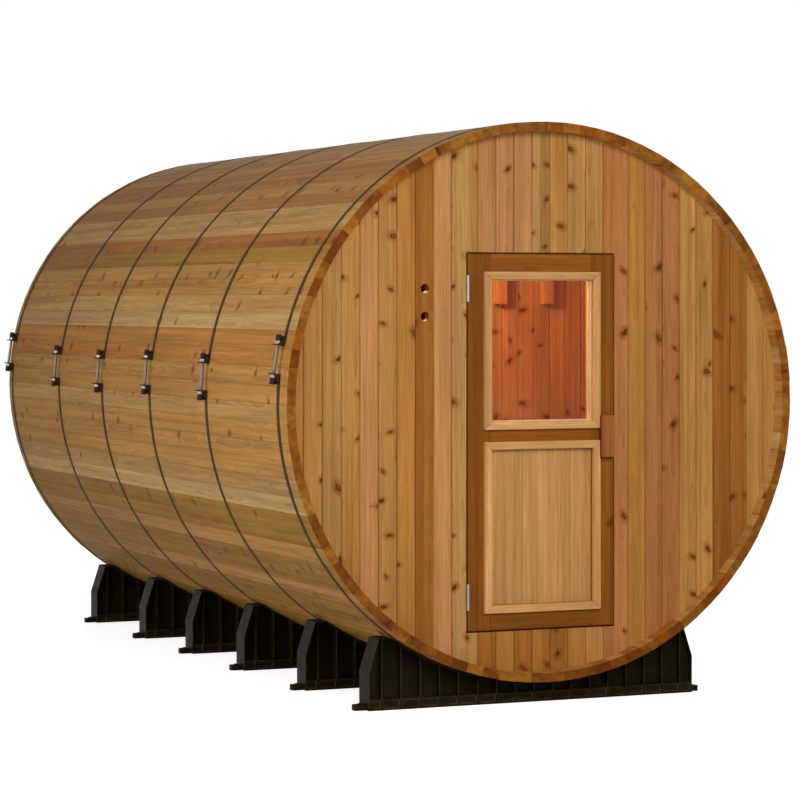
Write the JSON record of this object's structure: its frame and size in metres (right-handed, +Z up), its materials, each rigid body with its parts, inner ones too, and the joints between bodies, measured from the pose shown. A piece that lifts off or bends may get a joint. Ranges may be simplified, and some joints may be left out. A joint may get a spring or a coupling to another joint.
{
  "type": "barrel sauna",
  "caption": "Barrel sauna of long wooden staves held by steel hoops with bolt tensioners, on ribbed cradles, with a recessed end wall and an outward-opening door with a window.",
  "frame": {"origin": "ground level under the middle of the barrel's length and width", "axes": "+Z up, +Y from the door end to the rear end along the barrel, +X to the right of a person facing the door"},
  "size_m": [2.2192, 3.658, 2.2233],
  "materials": {
    "stave_cedar": "bare knotty cedar",
    "wall_cedar": "bare knotty cedar boards",
    "floor_cedar": "bare sawn cedar",
    "frame_wood": "oiled darker cedar",
    "trim_wood": "planed pale cedar",
    "panel_wood": "planed pale cedar",
    "door_glass": "clear float glass",
    "hinge_steel": "zinc-plated steel",
    "hoop_steel": "dulled steel strap",
    "bolt_steel": "zinc-plated threaded steel",
    "cradle_plastic": "moulded black plastic"
  },
  "bodies": {
    "barrel": {"staves_01": "stave_cedar", "staves_02": "stave_cedar", "staves_03": "stave_cedar", "staves_04": "stave_cedar", "staves_05": "stave_cedar", "staves_06": "stave_cedar", "staves_07": "stave_cedar", "staves_08": "stave_cedar", "staves_09": "stave_cedar", "staves_10": "stave_cedar", "staves_11": "stave_cedar", "staves_12": "stave_cedar", "front_wall_left": "wall_cedar", "front_wall_right": "wall_cedar", "front_wall_over_door": "wall_cedar", "front_wall_under_door": "wall_cedar", "back_wall": "wall_cedar", "partition_left": "wall_cedar", "partition_right": "wall_cedar", "partition_over_door": "wall_cedar", "partition_under_door": "wall_cedar", "changing_room_floor": "floor_cedar", "hot_room_floor": "floor_cedar", "floor_bearers": "floor_cedar", "partition_cleats": "trim_wood", "door_stop": "frame_wood", "wall_hinge_plates": "hinge_steel", "hoop_1": "hoop_steel", "hoop_2": "hoop_steel", "hoop_3": "hoop_steel", "hoop_4": "hoop_steel", "hoop_5": "hoop_steel", "hoop_6": "hoop_steel", "tension_bolts": "bolt_steel", "cradle_1": "cradle_plastic", "cradle_2": "cradle_plastic", "cradle_3": "cradle_plastic", "cradle_4": "cradle_plastic", "cradle_5": "cradle_plastic", "cradle_6": "cradle_plastic"},
    "door": {"door_hinge_stile": "frame_wood", "door_latch_stile": "frame_wood", "door_top_rail": "frame_wood", "door_middle_rail": "frame_wood", "door_bottom_rail": "frame_wood", "door_glass": "door_glass", "door_panel": "panel_wood", "window_trim": "trim_wood", "panel_trim": "trim_wood", "door_pull_handles": "trim_wood", "door_hinge_plates": "hinge_steel"}
  },
  "joints": [
    {"name": "door_hinge", "type": "hinge", "parent": "barrel", "child": "door", "pos_m": [-0.31175, -1.778, 1.002], "axis": [0, 0, -1], "range_deg": [0, 160]}
  ]
}
